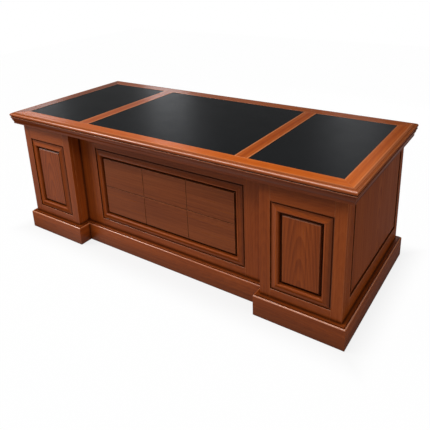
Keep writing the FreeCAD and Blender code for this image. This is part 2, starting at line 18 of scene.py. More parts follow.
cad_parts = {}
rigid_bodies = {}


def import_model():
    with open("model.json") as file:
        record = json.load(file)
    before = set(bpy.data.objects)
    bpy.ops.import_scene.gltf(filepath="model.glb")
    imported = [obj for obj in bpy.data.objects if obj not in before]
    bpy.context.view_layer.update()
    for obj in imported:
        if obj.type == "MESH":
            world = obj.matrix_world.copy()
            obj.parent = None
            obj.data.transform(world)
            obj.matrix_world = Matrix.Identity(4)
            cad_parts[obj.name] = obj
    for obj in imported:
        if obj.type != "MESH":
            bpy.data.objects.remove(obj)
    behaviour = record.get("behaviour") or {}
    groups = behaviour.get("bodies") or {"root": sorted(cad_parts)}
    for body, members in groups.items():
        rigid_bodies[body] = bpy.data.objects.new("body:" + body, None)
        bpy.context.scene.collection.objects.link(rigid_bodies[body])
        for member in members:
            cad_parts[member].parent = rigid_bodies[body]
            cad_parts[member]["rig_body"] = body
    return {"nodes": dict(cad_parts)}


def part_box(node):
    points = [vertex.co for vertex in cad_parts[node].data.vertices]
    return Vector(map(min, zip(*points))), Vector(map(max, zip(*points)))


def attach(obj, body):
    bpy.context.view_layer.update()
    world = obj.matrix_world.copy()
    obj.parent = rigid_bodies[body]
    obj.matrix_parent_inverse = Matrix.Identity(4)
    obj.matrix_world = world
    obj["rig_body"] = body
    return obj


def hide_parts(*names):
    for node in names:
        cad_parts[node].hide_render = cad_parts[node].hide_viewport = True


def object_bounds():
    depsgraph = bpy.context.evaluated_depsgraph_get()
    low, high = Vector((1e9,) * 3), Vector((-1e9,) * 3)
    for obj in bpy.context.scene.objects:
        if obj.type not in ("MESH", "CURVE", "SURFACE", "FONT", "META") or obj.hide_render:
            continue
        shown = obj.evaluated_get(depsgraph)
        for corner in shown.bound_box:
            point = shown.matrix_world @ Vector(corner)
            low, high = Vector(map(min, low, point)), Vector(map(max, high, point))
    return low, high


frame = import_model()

scene = bpy.context.scene
scene.view_settings.view_transform = "Standard"
cad_low, cad_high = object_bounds()
mm = 0.001
print("loaded", len(frame["nodes"]), "nodes; box in metres", [round(side, 3) for side in cad_high - cad_low])

# %% [markdown]
# ## Camera
# The picture is taken from the visitor's right, a little above the top, with a lens raised so that
# upright edges stay nearly parallel. A raised lens is a camera shift: the lens axis meets the picture
# above its middle. The camera's three axes are worked out from its turn, tilt and roll and become the
# columns of its matrix.

# %% Camera
picture_px = 430
lens_axis_px = (215, 130)
focal_px = 501.4
camera_turn, camera_tilt, camera_roll = (math.radians(angle) for angle in (34.87, 19.11, -2.18))
camera_place = Vector((1.570, -2.092, 1.590))


def camera_axes(turn, tilt, roll):
    back = Vector((math.sin(turn) * math.cos(tilt), -math.cos(turn) * math.cos(tilt), math.sin(tilt)))
    level = Vector((0, 0, 1)).cross(back).normalized()
    upright = back.cross(level)
    right = math.cos(roll) * level + math.sin(roll) * upright
    return right, back.cross(right), back


lens = bpy.data.cameras.new("Picture lens")
lens.sensor_width = 36
lens.lens = lens.sensor_width * focal_px / picture_px
lens.shift_x = 0.5 - lens_axis_px[0] / picture_px
lens.shift_y = lens_axis_px[1] / picture_px - 0.5
camera = bpy.data.objects.new("Picture camera", lens)
camera.matrix_world = Matrix.Translation(camera_place) @ Matrix(
    camera_axes(camera_turn, camera_tilt, camera_roll)
).transposed().to_4x4()
scene.collection.objects.link(camera)
scene.camera = camera
print("lens", round(lens.lens, 1), "mm, shift", round(lens.shift_x, 3), round(lens.shift_y, 3))

# %% [markdown]
# ## Building node trees in a few words
# A material is a tree of nodes, and a script that sets every socket by hand soon hides the idea behind
# the typing. These helpers add a node, set its properties, and set or link its inputs by name or
# identifier. Each returns an output socket, so a tree reads like a sum.

# %% Node helpers
def add_node(tree, kind, inputs=(), **settings):
    made = tree.nodes.new(kind)
    for name, value in settings.items():
        setattr(made, name, value)
    sockets = {socket.name: socket for socket in reversed(made.inputs)}
    sockets.update({socket.identifier: socket for socket in made.inputs})
    for name, value in dict(inputs).items():
        if isinstance(value, bpy.types.NodeSocket):
            tree.links.new(value, sockets[name])
        else:
            sockets[name].default_value = value
    return made


def calculate(tree, operation, first, second=0.0, third=0.0):
    values = {"Value": first, "Value_001": second, "Value_002": third}
    return add_node(tree, "ShaderNodeMath", values, operation=operation).outputs[0]


def strongest(tree, values):
    """The largest of several values."""
    largest = values[0]
    for value in values[1:]:
        largest = calculate(tree, "MAXIMUM", largest, value)
    return largest


def axes_of(tree, vector):
    return add_node(tree, "ShaderNodeSeparateXYZ", {"Vector": vector}).outputs


def move(tree, vector, shift):
    values = {"Vector": vector, "Vector_001": shift}
    return add_node(tree, "ShaderNodeVectorMath", values, operation="ADD").outputs[0]


def stretch(tree, vector, scale):
    values = {"Vector": vector, "Vector_001": scale}
    return add_node(tree, "ShaderNodeVectorMath", values, operation="MULTIPLY").outputs[0]


def noise(tree, vector, scale=1.0, detail=2.0, roughness=0.5):
    values = {"Vector": vector, "Scale": scale, "Detail": detail, "Roughness": roughness}
    return add_node(tree, "ShaderNodeTexNoise", values).outputs["Fac"]


def between(tree, value, low, high, to_low=0.0, to_high=1.0):
    """A value that eases from to_low to to_high while the given one goes from low to high."""
    values = {"Value": value, "From Min": low, "From Max": high, "To Min": to_low, "To Max": to_high}
    return add_node(tree, "ShaderNodeMapRange", values, interpolation_type="SMOOTHSTEP").outputs[0]


def blend_colours(tree, share, first, second):
    values = {"Factor_Float": share, "A_Color": first, "B_Color": second}
    made = add_node(tree, "ShaderNodeMix", values, data_type="RGBA")
    return next(socket for socket in made.outputs if socket.identifier == "Result_Color")


def colour_steps(tree, value, stops):
    ramp = add_node(tree, "ShaderNodeValToRGB", {"Fac": value})
    elements = ramp.color_ramp.elements
    while len(elements) < len(stops):
        elements.new(0.5)
    for element, (place, colour) in zip(elements, stops):
        element.position = place
        element.color = colour
    return ramp.outputs["Color"]


def bump(tree, height, depth, strength):
    values = {"Height": height, "Distance": depth, "Strength": strength}
    return add_node(tree, "ShaderNodeBump", values).outputs[0]


def attribute(tree, name, output="Fac"):
    return add_node(tree, "ShaderNodeAttribute", attribute_name=name).outputs[output]


def object_place(tree):
    return add_node(tree, "ShaderNodeTexCoord").outputs["Object"]


def screen_colour(red, green, blue):
    """A colour as a screen shows it, 0 to 255, made linear for a shader."""
    def linear(value):
        share = value / 255
        return share / 12.92 if share <= 0.04045 else ((share + 0.055) / 1.055) ** 2.4
    return (linear(red), linear(green), linear(blue), 1.0)


def new_material(name, **fixed):
    """An empty material with a Principled BSDF, whose fixed values are set on its own sockets."""
    material = bpy.data.materials.new(name)
    material.use_nodes = True
    shader = material.node_tree.nodes["Principled BSDF"]
    for socket, value in fixed.items():
        shader.inputs[socket.replace("_", " ")].default_value = value
    return material, material.node_tree, shader.inputs


def feed(tree, inputs, **sources):
    for socket, source in sources.items():
        tree.links.new(source, inputs[socket.replace("_", " ")])


def new_group(name, inputs, outputs):
    """A shader node group. Inputs are (name, kind, value) and outputs are (name, kind)."""
    kinds = {"value": "NodeSocketFloat", "vector": "NodeSocketVector"}
    group = bpy.data.node_groups.new(name, "ShaderNodeTree")
    for label, kind, value in inputs:
        socket = group.interface.new_socket(name=label, in_out="INPUT", socket_type=kinds[kind])
        if value is not None:
            socket.default_value = value
    for label, kind in outputs:
        group.interface.new_socket(name=label, in_out="OUTPUT", socket_type=kinds[kind])
    return group, group.nodes.new("NodeGroupInput").outputs, group.nodes.new("NodeGroupOutput").inputs


def place_group(tree, group, **values):
    inputs = {name.replace("_", " "): value for name, value in values.items()}
    return add_node(tree, "ShaderNodeGroup", inputs, node_tree=group).outputs


print("node helpers ready")

# %% [markdown]
# ## Floor, backdrop and light
# The desk stands on a plain white sweep. Cut-out product pictures have a pure white ground with only a
# faint shadow, which paper under a lamp doesn't give without burning out the desk as well. So the floor
# is ordinary pale paper to the light that bounces about, and is lifted towards white for the rays that
# see it, mirror it or look through glass at it. Close to the plinth it is lifted less, so that the
# contact shadow stays.

# %% Floor and world
def background_rays(tree):
    """1 for a ray that sees the background, straight from the camera or by way of metal or glass."""
    path = add_node(tree, "ShaderNodeLightPath").outputs
    return strongest(tree, [path["Is " + kind + " Ray"] for kind in ("Camera", "Glossy", "Transmission")])


paper_tones = (screen_colour(208, 208, 208), screen_colour(214, 214, 214))
shadow_from, shadow_to = -0.05, 0.15
lift_in_shadow, lift_in_open = 0.8, 0.99


def build_floor(side=14.0):
    half = side / 2
    corners = [(-half, -half, 0), (half, -half, 0), (half, half, 0), (-half, half, 0)]
    mesh = bpy.data.meshes.new("Floor")
    mesh.from_pydata(corners, [], [(0, 1, 2, 3)])
    floor = bpy.data.objects.new("Floor", mesh)
    scene.collection.objects.link(floor)
    material = bpy.data.materials.new("White sweep")
    material.use_nodes = True
    tree = material.node_tree
    tree.nodes.remove(tree.nodes["Principled BSDF"])
    place = object_place(tree)
    paper_colour = blend_colours(tree, noise(tree, place, 3.0), *paper_tones)
    paper = add_node(tree, "ShaderNodeBsdfDiffuse", {"Color": paper_colour}).outputs[0]
    white = add_node(tree, "ShaderNodeEmission", {"Strength": 1.0}).outputs[0]
    plinth_low, plinth_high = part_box("right_plinth")
    x, y, _ = axes_of(tree, place)
    beside = calculate(tree, "SUBTRACT", calculate(tree, "ABSOLUTE", x), plinth_high.x)
    before = calculate(tree, "SUBTRACT", calculate(tree, "ABSOLUTE", y), -plinth_low.y)
    away = calculate(tree, "MAXIMUM", beside, before)
    whitening = between(tree, away, shadow_from, shadow_to, lift_in_shadow, lift_in_open)
    lift = calculate(tree, "MULTIPLY", background_rays(tree), whitening)
    shaders = {"Fac": lift, "Shader": paper, "Shader_001": white}
    mixed = add_node(tree, "ShaderNodeMixShader", shaders).outputs[0]
    tree.links.new(mixed, tree.nodes["Material Output"].inputs["Surface"])
    mesh.materials.append(material)


def build_world(room_light=0.12):
    world = bpy.data.worlds.new("Pale studio")
    scene.world = world
    world.use_nodes = True
    tree = world.node_tree
    strength = between(tree, background_rays(tree), 0.0, 1.0, room_light, 1.0)
    tree.links.new(strength, tree.nodes["Background"].inputs["Strength"])
    tree.nodes["Background"].inputs["Color"].default_value = (1, 1, 1, 1)


build_floor()
build_world()
print("floor and world made")

# %% [markdown]
# A long box hangs low over the visitor's edge. It lies in the rounded nose as a bright line, and because
# it is near, its light falls off towards the sitter's side. The key light stands on the visitor's left
# and lights the fronts; the left pedestal throws the recess beside it into shade. A weak fill keeps the
# right end from going black, and a broad low one behind the desk shows the drawers and the door; nothing
# mirrors it, so the top doesn't show it.
#
# Behind the desk stand three windows of pale blue daylight. Leather mirrors only at a slant, and each
# window is placed where the camera sees it in one inlay: on the sight line to that spot, mirrored in the
# top. They are meant as sheen alone, so no matt surface is lit by them.

# %% Lamps
daylight = (0.93, 0.96, 1.0)


def soft_box(name, place, target, width, height, power):
    data = bpy.data.lights.new(name, "AREA")
    data.shape = "RECTANGLE"
    data.size, data.size_y = width, height
    data.energy = power
    lamp = bpy.data.objects.new(name, data)
    lamp.location = place
    lamp.rotation_euler = (Vector(target) - Vector(place)).to_track_quat("-Z", "Y").to_euler()
    scene.collection.objects.link(lamp)
    return lamp


def window_in_leather(spot, width, height, power, distance=3.0):
    """A soft box that the camera sees mirrored in the top at the spot."""
    sight = (camera_place - spot).normalized()
    mirrored = Vector((-sight.x, -sight.y, sight.z))
    window = soft_box("Back window", spot + distance * mirrored, spot, width, height, power)
    window.visible_diffuse = False
    window.data.color = daylight


soft_box("Edge box", (0.4, -0.9, 1.9), (0.35, -0.4, 0.7), width=2.2, height=0.7, power=21)
soft_box("Left key", (-2.4, -1.6, 2.3), (0, -0.2, 0.5), width=1.2, height=1.2, power=62)
soft_box("Right fill", (3.0, -0.9, 1.5), (0.9, 0, 0.5), width=1.0, height=1.0, power=10.5)
sitters_fill = soft_box("Sitter's fill", (0.2, 3.4, 0.95), (0, 0.4, 0.45), width=2.4, height=1.0, power=50)
sitters_fill.visible_glossy = False
# Each window: its spot on the top in X and Y, its width and height, and its power.
windows = (
    ((-0.90, -0.36), 0.5, 0.9, 7.5),
    ((-0.22, 0.02), 0.45, 1.3, 11.5),
    ((0.94, -0.18), 0.5, 1.4, 14),
)
for spot, width, height, power in windows:
    window_in_leather(Vector((*spot, cad_high.z)), width, height, power)

# %% [markdown]
# ## Eased boards
# A cabinetmaker never leaves an edge sharp: every arris is eased with a stroke of sandpaper, and that
# small round is what catches the light. The construction's solids have sharp edges, so each wooden piece
# is copied, its triangles are joined up solid by solid, and its outward edges get a small bevel. A solid
# is closed, so its triangles end where the last open edge finds its partner; that tells touching boards
# apart.
#
# Each copy also carries attributes for the finishes: `grain`, the place in the board's own directions
# (along, across, through), `half_width`, how far the board reaches across its grain, `board`, a number
# that differs from board to board so that no two share one figure, `inward`, how far in from the outline
# of the whole node a point lies as seen from the front, one that marks the lower and left-hand boards of a
# node, which the finishes paint as if they faced the light, `arris`, which marks the eased faces, `crest`,
# which is 0 on upright and level faces and 1 where a round leans halfway between them and sets both the
# burnish and a painted highlight, and `ledge`, which marks level tops.

# %% Read the solids of a node
join_distance = 0.01 * mm


def solids_of(node):
    mesh = frame["nodes"][node].data
    places = np.empty(len(mesh.vertices) * 3, np.float32)
    mesh.vertices.foreach_get("co", places)
    places = places.reshape(-1, 3)
    keys, joined = np.unique(np.round(places / join_distance).astype(np.int64), axis=0, return_inverse=True)
    joined = joined.ravel()
    solids, current, open_edges = [], [], set()
    for polygon in mesh.polygons:
        corners = [int(joined[index]) for index in polygon.vertices]
        current.append(corners)
        for start, end in zip(corners, corners[1:] + corners[:1]):
            if (end, start) in open_edges:
                open_edges.remove((end, start))
            else:
                open_edges.add((start, end))
        if not open_edges:
            solids.append(current)
            current = []
    return keys * join_distance, solids


solid_count = sum(len(solids_of(node)[1]) for node in frame["nodes"])
print("solids in all nodes:", solid_count)

# %% [markdown]
# A board's grain runs along its longest side, or upright where the panel maker turned the veneer so. The
# solids of a node go into one editable shape, and the flat faces that were cut into triangles are put
# together again. The attributes are made before the boards are, because a new one would undo the hold on
# the older ones.

# %% Raise the boards of a node
flat_angle = math.radians(0.5)
board_marks = ("board", "half_width", "inward", "lit_side")
face_marks = ("arris", "crest", "ledge")
upright_grain = ("left_end_panel", "right_end_panel", "left_inner_side_board", "right_inner_side_board")


def grain_axes(size, upright):
    """Which of X, Y and Z runs along, across and through a board."""
    through = min(range(3), key=lambda axis: size[axis])
    along = 2 if upright else max(range(3), key=lambda axis: size[axis])
    return along, 3 - along - through, through


def board_shape(node):
    """The node's solids as one shape, and each board's middle, grain axes and half width."""
    places, solids = solids_of(node)
    shape = bmesh.new()
    for name in board_marks:
        shape.verts.layers.float.new(name)
    shape.verts.layers.float_vector.new("grain")
    for name in face_marks:
        shape.faces.layers.float.new(name)
    board_layer = shape.verts.layers.float["board"]
    boards = []
    for number, triangles in enumerate(solids):
        used = sorted({corner for triangle in triangles for corner in triangle})
        verts = {corner: shape.verts.new(places[corner]) for corner in used}
        for vert in verts.values():
            vert[board_layer] = number
        for triangle in triangles:
            shape.faces.new([verts[corner] for corner in triangle])
        low, high = places[used].min(axis=0), places[used].max(axis=0)
        axes = grain_axes(high - low, node in upright_grain)
        boards.append(((low + high) / 2, axes, (high - low)[axes[1]] / 2))
    bmesh.ops.dissolve_limit(shape, angle_limit=flat_angle, verts=shape.verts, edges=shape.edges)
    return shape, boards


crown_shape, crown_boards = board_shape("crown_moulding")
print("crown moulding:", len(crown_boards), "boards with", len(crown_shape.faces), "faces")
crown_shape.free()

# %% [markdown]
# Sandpaper takes the outward edges and leaves the inward ones, so only convex edges are beveled. A crest
# gets a burnish and a painted highlight, in a share that differs from node to node: a node whose name ends
# as listed gets that share of the full crest, which the crown and the pedestals' plinths keep. Random
# numbers come from the node's name, so a board looks the same in every run.

# %% Ease the edges and mark boards and faces
edge_angle = math.radians(28)
level_slope = 0.98
front_axes = (0, 2)
crest_shares = {
    "front_moulding": 0.35, "modesty_moulding": 0.35, "raised_panel": 0.4, "modesty_panel": 0.0,
    "drawer_front": 0.4, "door_panel": 0.4, "centre_plinth": 0.65, "top_nosing": 0.68,
}


def ease_edges(shape, ease, segments):
    edges = [e for e in shape.edges if e.is_manifold and e.is_convex and e.calc_face_angle() > edge_angle]
    eased = bmesh.ops.bevel(
        shape, geom=edges, offset=ease, offset_type="OFFSET", segments=segments, profile=0.5,
        affect="EDGES", clamp_overlap=True,
    )["faces"]
    arris_layer = shape.faces.layers.float["arris"]
    for face in eased:
        face[arris_layer] = 1.0


def mark_boards(shape, node, boards):
    layers = [shape.verts.layers.float[name] for name in board_marks]
    board_layer, width_layer, inward_layer, lit_side_layer = layers
    grain_layer = shape.verts.layers.float_vector["grain"]
    node_low, node_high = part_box(node)
    node_middle = (node_low + node_high) / 2
    node_half = (node_high - node_low) / 2
    chance = random.Random(node)
    numbers = [chance.random() for _ in boards]
    for vert in shape.verts:
        number = round(vert[board_layer])
        middle, axes, half_width = boards[number]
        offset = vert.co - Vector(middle)
        from_middle = vert.co - node_middle
        vert[grain_layer] = [offset[axis] for axis in axes]
        vert[width_layer] = half_width
        vert[inward_layer] = min(node_half[axis] - abs(from_middle[axis]) for axis in front_axes)
        # Lower and left-hand boards are marked as the side painted as lit.
        vert[lit_side_layer] = any(middle[axis] < node_middle[axis] - mm for axis in front_axes)
        vert[board_layer] = numbers[number]


def mark_faces(shape, node):
    _, crest_layer, ledge_layer = (shape.faces.layers.float[name] for name in face_marks)
    crest_share = next((share for ending, share in crest_shares.items() if node.endswith(ending)), 1.0)
    shape.normal_update()
    for face in shape.faces:
        lean = 2 * face.normal.z * face.normal.xy.length
        face[crest_layer] = crest_share * max(0.0, lean)
        face[ledge_layer] = face.normal.z > level_slope
        face.smooth = True


def eased_copy(node, ease, segments):
    shape, boards = board_shape(node)
    ease_edges(shape, ease, segments)
    mark_boards(shape, node, boards)
    mark_faces(shape, node)
    mesh = bpy.data.meshes.new("eased_" + node)
    shape.to_mesh(mesh)
    shape.free()
    return mesh


print("edges sharper than", round(math.degrees(edge_angle)), "degrees are eased")

# %% [markdown]
# A bevel shades well only if each large face keeps its own flat normal and the narrow ones turn between
# them. The Weighted Normal modifier does that. It is evaluated once, and the plain mesh that comes out is
# the finished piece.

# %% Turn a copy into a finished piece
board_crease = math.radians(50)


def plain_mesh(piece):
    """What the piece's modifiers make, as a plain mesh with the modifiers gone."""
    evaluated = piece.evaluated_get(bpy.context.evaluated_depsgraph_get())
    mesh = bpy.data.meshes.new_from_object(evaluated)
    mesh.name = piece.name
    piece.modifiers.clear()
    piece.data = mesh


def dress(node, piece):
    """The piece stands for the node on the node's body, and the node is hidden."""
    cad = frame["nodes"][node]
    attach(piece, cad["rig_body"])
    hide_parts(node)


def finished(node, material, ease, segments):
    piece = bpy.data.objects.new("eased_" + node, eased_copy(node, ease, segments))
    scene.collection.objects.link(piece)
    piece.data.set_sharp_from_angle(angle=board_crease)
    normals = piece.modifiers.new("Flat faces stay flat", "WEIGHTED_NORMAL")
    normals.keep_sharp = True
    normals.weight = 100
    plain_mesh(piece)
    piece.data.materials.clear()
    piece.data.materials.append(material)
    dress(node, piece)


print("boards are eased by", finished.__name__)

# %% [markdown]
# ## Effects shared by the finishes
# Wood figure, worn edges with a painted highlight, and the darkening of inside corners, partly glaze and
# partly painted shade, appear in several finishes, so each is a node group with named inputs. A board is a
# slice of a trunk: its rings are circles round a pith that lies behind the face and leans along the board,
# and that lean draws the pointed arches of a plain-sawn panel. Fibres and pores are noise drawn out along
# the grain.

# %% Wood figure group
# How often each pattern repeats in a metre along, across and through a board.
drift_scale = (1.6, 7.0, 7.0)
streak_scale = (2.2, 120.0, 120.0)
cloud_scale = (1.1, 11.0, 11.0)
pore_scale = (28.0, 900.0, 900.0)
# How far the patterns and the pith move from one board to the next, in metres.
board_shift = (9.1, 5.3, 7.7)
pith_swing = 0.04


def build_wood_figure():
    group, inputs, outputs = new_group(
        "Wood figure",
        [("Grain", "vector", None), ("Board", "value", 0.0), ("Ring Width", "value", 0.012),
         ("Pith Depth", "value", 0.05), ("Lean", "value", 0.12), ("Wander", "value", 0.012)],
        [("Rings", "value"), ("Streaks", "value"), ("Cloud", "value"), ("Pores", "value")],
    )
    shift = add_node(
        group, "ShaderNodeVectorMath", {"Vector": board_shift, "Scale": inputs["Board"]}, operation="SCALE"
    ).outputs[0]
    place = move(group, inputs["Grain"], shift)
    along, across, through = axes_of(group, inputs["Grain"])
    drift = noise(group, stretch(group, place, drift_scale), detail=3.0)
    middle_drift = calculate(group, "SUBTRACT", drift, 0.5)
    side = calculate(group, "MULTIPLY_ADD", middle_drift, inputs["Wander"], across)
    board_side = calculate(group, "SUBTRACT", inputs["Board"], 0.5)
    swing = calculate(group, "MULTIPLY_ADD", board_side, pith_swing, side)
    depth = calculate(group, "MULTIPLY_ADD", along, inputs["Lean"], inputs["Pith Depth"])
    behind = calculate(group, "ADD", depth, through)
    square = calculate(group, "MULTIPLY_ADD", swing, swing, calculate(group, "MULTIPLY", behind, behind))
    radius = calculate(group, "SQRT", square)
    phase = calculate(group, "FRACT", calculate(group, "DIVIDE", radius, inputs["Ring Width"]))
    rise = between(group, phase, 0.1, 0.86)
    fall = between(group, phase, 0.9, 1.0, 1.0, 0.0)
    specks = noise(group, stretch(group, place, pore_scale), detail=1.0)
    patterns = {
        "Rings": calculate(group, "MULTIPLY", rise, fall),
        "Streaks": noise(group, stretch(group, place, streak_scale), detail=4.0, roughness=0.62),
        "Cloud": noise(group, stretch(group, place, cloud_scale)),
        "Pores": between(group, specks, 0.60, 0.70),
    }
    for name, pattern in patterns.items():
        group.links.new(pattern, outputs[name])
    return group


wood_figure = build_wood_figure()
print("group:", wood_figure.name)

# %% [markdown]
# Hands and dusters wear the lacquer off an edge by rubbing, in patches, which noise breaks up; the pale
# worn edge is also a painted highlight. Inside corners are darkened, partly by glaze, which stays where no
# cloth reaches, and partly as painted shade, where shade falls. The Ambient Occlusion node tells how open
# the surroundings of a point are, and that finds the inside corners of any shape without painting them by
# hand.

# %% Rubbed edge and settled glaze groups
def build_edge_wear_and_highlight():
    """How far the finish is worn through along an eased edge, broken up by noise, and painted light as a
    highlight.
    """
    group, inputs, outputs = new_group(
        "Edge wear and highlight", [("Place", "vector", None), ("Arris", "value", 0.0), ("Patch Size", "value", 0.03)],
        [("Wear and highlight", "value")],
    )
    count = calculate(group, "DIVIDE", 1.0, inputs["Patch Size"])
    patches = between(group, noise(group, inputs["Place"], count, 3.0), 0.35, 0.65, 0.35, 1.0)
    group.links.new(calculate(group, "MULTIPLY", inputs["Arris"], patches), outputs["Wear and highlight"])
    return group


def build_corner_glaze_and_shade():
    """Where the shape is darkened in its inside corners: glaze and patina, and painted shade where shade
    falls.
    """
    group, inputs, outputs = new_group(
        "Corner glaze and shade", [("Place", "vector", None), ("Reach", "value", 0.02)], [("Glaze and shade", "value")]
    )
    openness = add_node(
        group, "ShaderNodeAmbientOcclusion", {"Distance": inputs["Reach"]}, samples=8
    ).outputs["AO"]
    uneven = between(group, noise(group, inputs["Place"], 18.0), 0.2, 0.8, 0.85, 1.0)
    # The less open a point is, the darker it is painted: glaze on wood, patina on brass, and painted shade.
    closed = between(group, openness, 0.58, 0.95, 1.0, 0.0)
    group.links.new(calculate(group, "MULTIPLY", closed, uneven), outputs["Glaze and shade"])
    return group


edge_wear_and_highlight = build_edge_wear_and_highlight()
corner_glaze_and_shade = build_corner_glaze_and_shade()
print("groups:", edge_wear_and_highlight.name, "and", corner_glaze_and_shade.name)

# %% [markdown]
# ## Lacquered wood
# The body is red-brown veneer with solid mouldings, toned and lacquered to a satin gloss. The same wood,
# less toned, makes the top's orange border. One function builds every wood from three others, for colour,
# glaze with painted shade, and gloss. The figure sets the colour between a dark and a light tone. A board
# with bands is darker along its middle and lighter towards its sides, as the border boards are, and pores
# are pressed into the surface.

# %% Colour of the wood
streak_share, cloud_share, board_share, pore_share = 0.7, 0.4, 0.1, 0.4
band_share, side_share = 0.5, 0.4


def wood_colour(tree, figure, grain, board, tones, rub_and_highlight_tone, arches, bands):
    """The figure's colour, out of a dark, a middle and a light tone."""
    rings = calculate(tree, "MULTIPLY", figure["Rings"], arches)
    fine = calculate(tree, "MULTIPLY_ADD", figure["Streaks"], streak_share, rings)
    tone = calculate(tree, "MULTIPLY_ADD", figure["Cloud"], cloud_share, fine)
    lowered = calculate(tree, "SUBTRACT", tone, board_share)
    board_tone = calculate(tree, "MULTIPLY_ADD", board, board_share, lowered)
    low, middle, high = tones
    colour = colour_steps(tree, board_tone, [(0.2, high), (0.5, middle), (0.85, low)])
    across = axes_of(tree, grain)["Y"]
    aside = calculate(tree, "ABSOLUTE", calculate(tree, "DIVIDE", across, attribute(tree, "half_width")))
    banded = blend_colours(tree, between(tree, aside, 0.1, 0.3, band_share * bands, 0.0), colour, low)
    edged = blend_colours(tree, between(tree, aside, 0.7, 0.85, 0.0, side_share * bands), banded, rub_and_highlight_tone)
    return blend_colours(tree, calculate(tree, "MULTIPLY", figure["Pores"], pore_share), edged, low)


print("a board's tone:", streak_share, "streaks,", cloud_share, "cloud,", board_share, "from board to board")

# %% [markdown]
# Glaze and painted shade darken the wood. The inside corners are darkened, partly as glaze and partly as
# painted shade, and level tops get painted shade. In the panel mouldings painted shade lies thickest in the
# hollow at the outer edge and thins towards the lip; the lower and left-hand lengths are painted as if they
# faced the light and keep little of it. The border is painted darker towards the sitter's side and
# towards the left end, as painted shade, and the plinth is darker towards the floor. Where two causes
# meet, the stronger one shows.

# %% Glaze on the wood
hollow_from, hollow_to = 6 * mm, 30 * mm
# Where the painted shade towards the left end stops, and where the darkening towards the floor stops.
left_end_shade_until_x, darker_to_floor_until_z = 0.4, 0.1


def glaze_and_shade_share(
    tree, grain, corner_darkening=0.94, shade=0.0, hollow=0.0, lit_side_lift=0.0, sitter_side_shade=0.0, left_end_shade=0.0, darker_to_floor=0.0
):
    """How far glaze and painted shade cover the wood. Each setting is the strength of one cause, and one
    lifts them off the boards painted as lit.
    """
    corner = place_group(tree, corner_glaze_and_shade, Place=grain)["Glaze and shade"]
    # Painted shade at the outer edge of a panel moulding, fading inwards.
    outer = between(tree, attribute(tree, "inward"), hollow_from, hollow_to, hollow, 0.0)
    # The boards marked as lit keep little of the darkening: painted light.
    shade_kept = between(tree, attribute(tree, "lit_side"), 0.0, 1.0, 1.0, 1.0 - lit_side_lift)
    x, y, z = axes_of(tree, object_place(tree))
    # Causes: darkened corners (glaze and painted shade), painted shade on level tops (a light tone in the
    # nosing), painted shade at a moulding's edge, towards the sitter's side and towards the left end, and
    # darker towards the floor.
    return strongest(tree, [
        calculate(tree, "MULTIPLY", calculate(tree, "MULTIPLY", corner, corner_darkening), shade_kept),
        calculate(tree, "MULTIPLY", attribute(tree, "ledge"), shade),
        calculate(tree, "MULTIPLY", outer, shade_kept),
        between(tree, y, cad_low.y, cad_high.y, 0.0, sitter_side_shade),
        between(tree, x, cad_low.x, left_end_shade_until_x, left_end_shade, 0.0),
        between(tree, z, cad_low.z, darker_to_floor_until_z, darker_to_floor, 0.0),
    ])


# How high the darkening towards the floor reaches.
print("mops reach", darker_to_floor_until_z, "m up the plinth")

# %% [markdown]
# Lacquer over a white ground would mirror it and turn the brown milky. A photographer puts a polarising
# filter on the lens, which takes that glare off slanted faces, and the finish does the same: its
# mirroring fades as the face turns away from the eye. A veil leaves a little of the glare on the left of
# the top's border. Rounded crests are burnished brighter than the flats, because the highlight along a
# nose or a plinth is what makes the mouldings read.

# %% Gloss of the lacquer
flat_gloss, crest_gloss = 0.1, 0.25
burnish_from, slanted_from, slanted_to = 0.2, 0.46, 0.54
veil_from_x, veil_to_x = -0.2, 0.8


def lacquer_gloss(tree, crest, glare, veil):
    """The burnish of the crests, and how much the lacquer mirrors."""
    slant = add_node(tree, "ShaderNodeLayerWeight").outputs["Facing"]
    burnish = calculate(tree, "MULTIPLY", crest, between(tree, slant, burnish_from, slanted_from, 1.0, 0.0))
    x = axes_of(tree, object_place(tree))["X"]
    sheen = between(tree, x, veil_from_x, veil_to_x, glare + veil, glare)
    flats = between(tree, slant, slanted_from, slanted_to, flat_gloss, sheen)
    return burnish, calculate(tree, "MULTIPLY_ADD", burnish, crest_gloss, flats)


